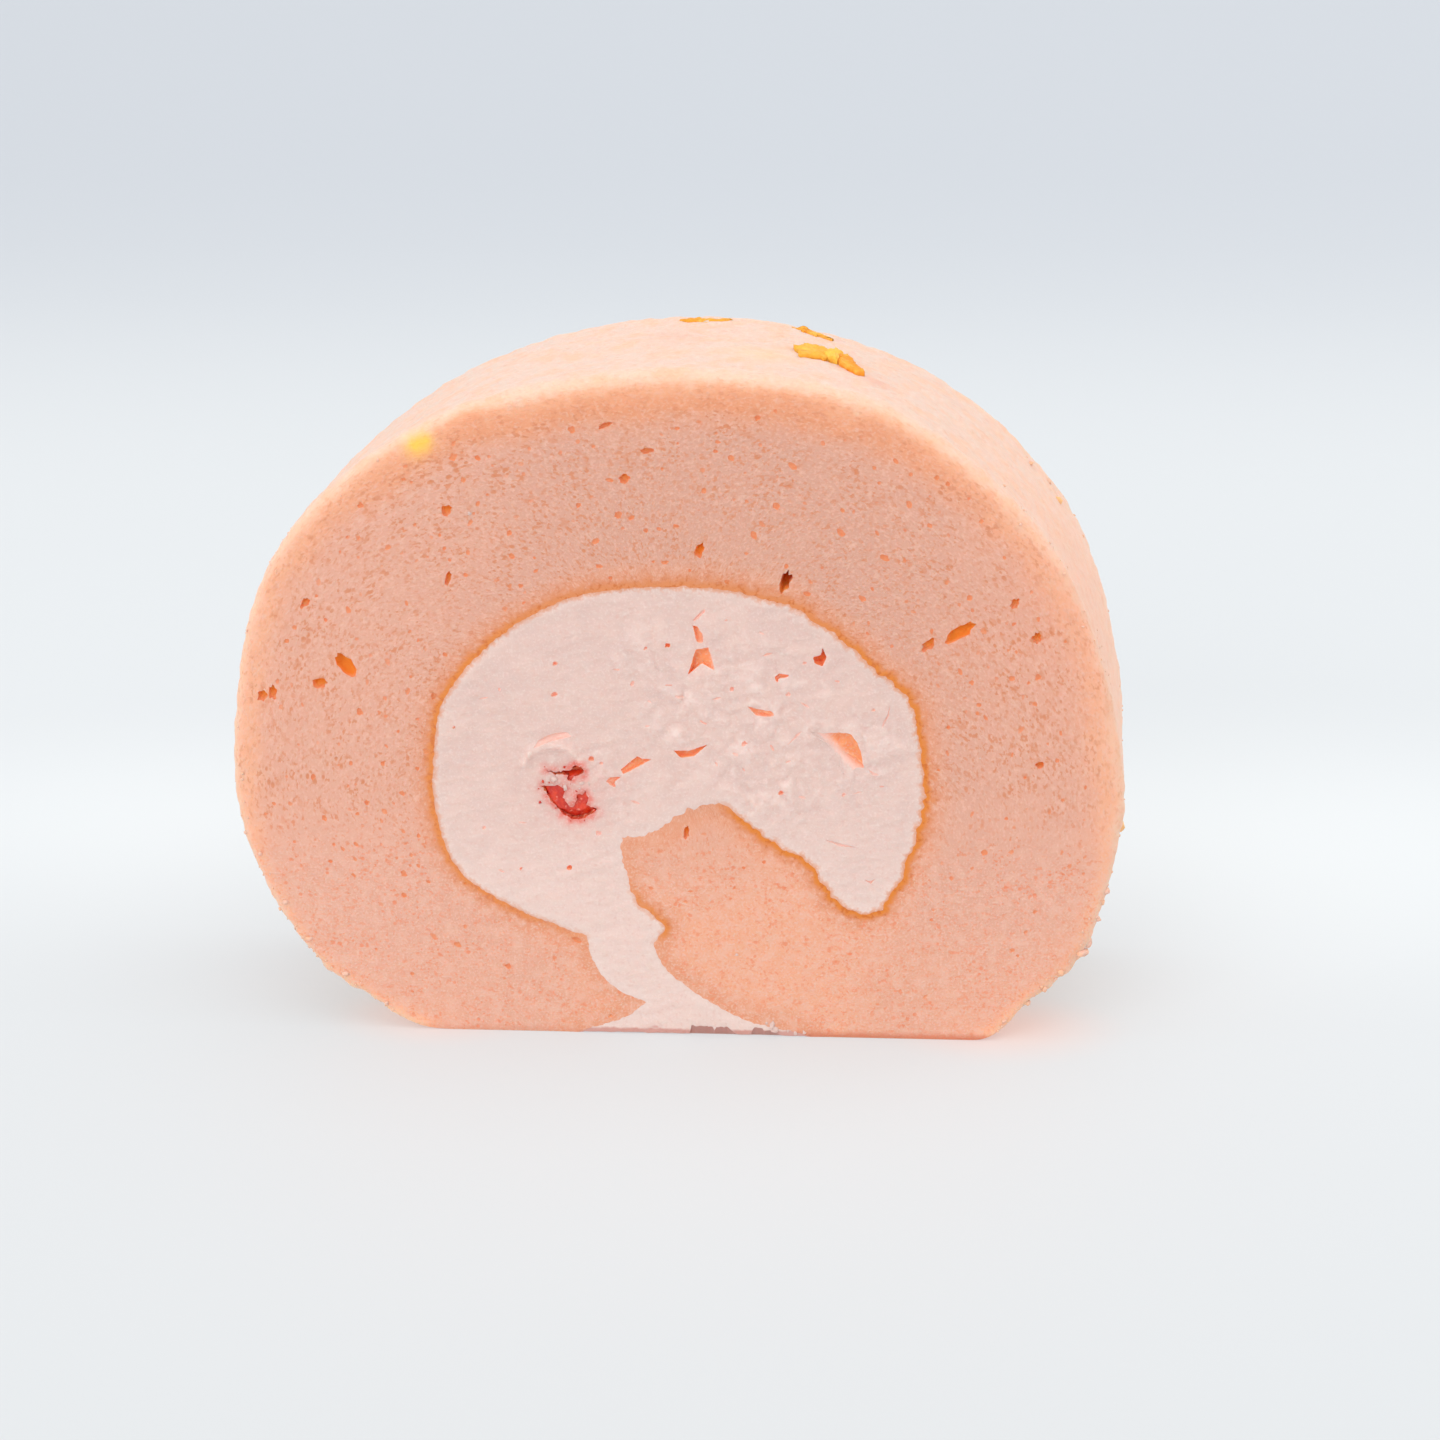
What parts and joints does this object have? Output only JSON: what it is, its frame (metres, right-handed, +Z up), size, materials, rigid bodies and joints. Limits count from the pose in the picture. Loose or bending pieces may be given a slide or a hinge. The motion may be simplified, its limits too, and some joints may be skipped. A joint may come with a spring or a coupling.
{
  "type": "swiss roll cake slice",
  "caption": "Upright slice of strawberry swiss roll: pink sponge sheet rolled once round whipped cream, with a bit of strawberry and a flat foot.",
  "frame": {"origin": "on the surface the slice stands on, under the middle of its bounding box", "axes": "+Z up, +X to the right across the roll as the front cut is seen, +Y along the roll's axis from the front cut to the back cut"},
  "size_m": [0.0918, 0.024, 0.0716],
  "materials": {
    "sponge": "soft matt pink-orange cake crumb with fine pores, a paler velvety outer skin and a thin browned skin line round the filling",
    "cream": "pale pink whipped cream, smooth with small tears and knife smears, faint sheen",
    "strawberry": "moist translucent red fruit flesh",
    "browned_skin": "thin flakes and crumbs of golden browned cake skin"
  },
  "bodies": {
    "root": {"sponge": "sponge", "cream": "cream", "strawberry_piece": "strawberry"}
  },
  "joints": []
}
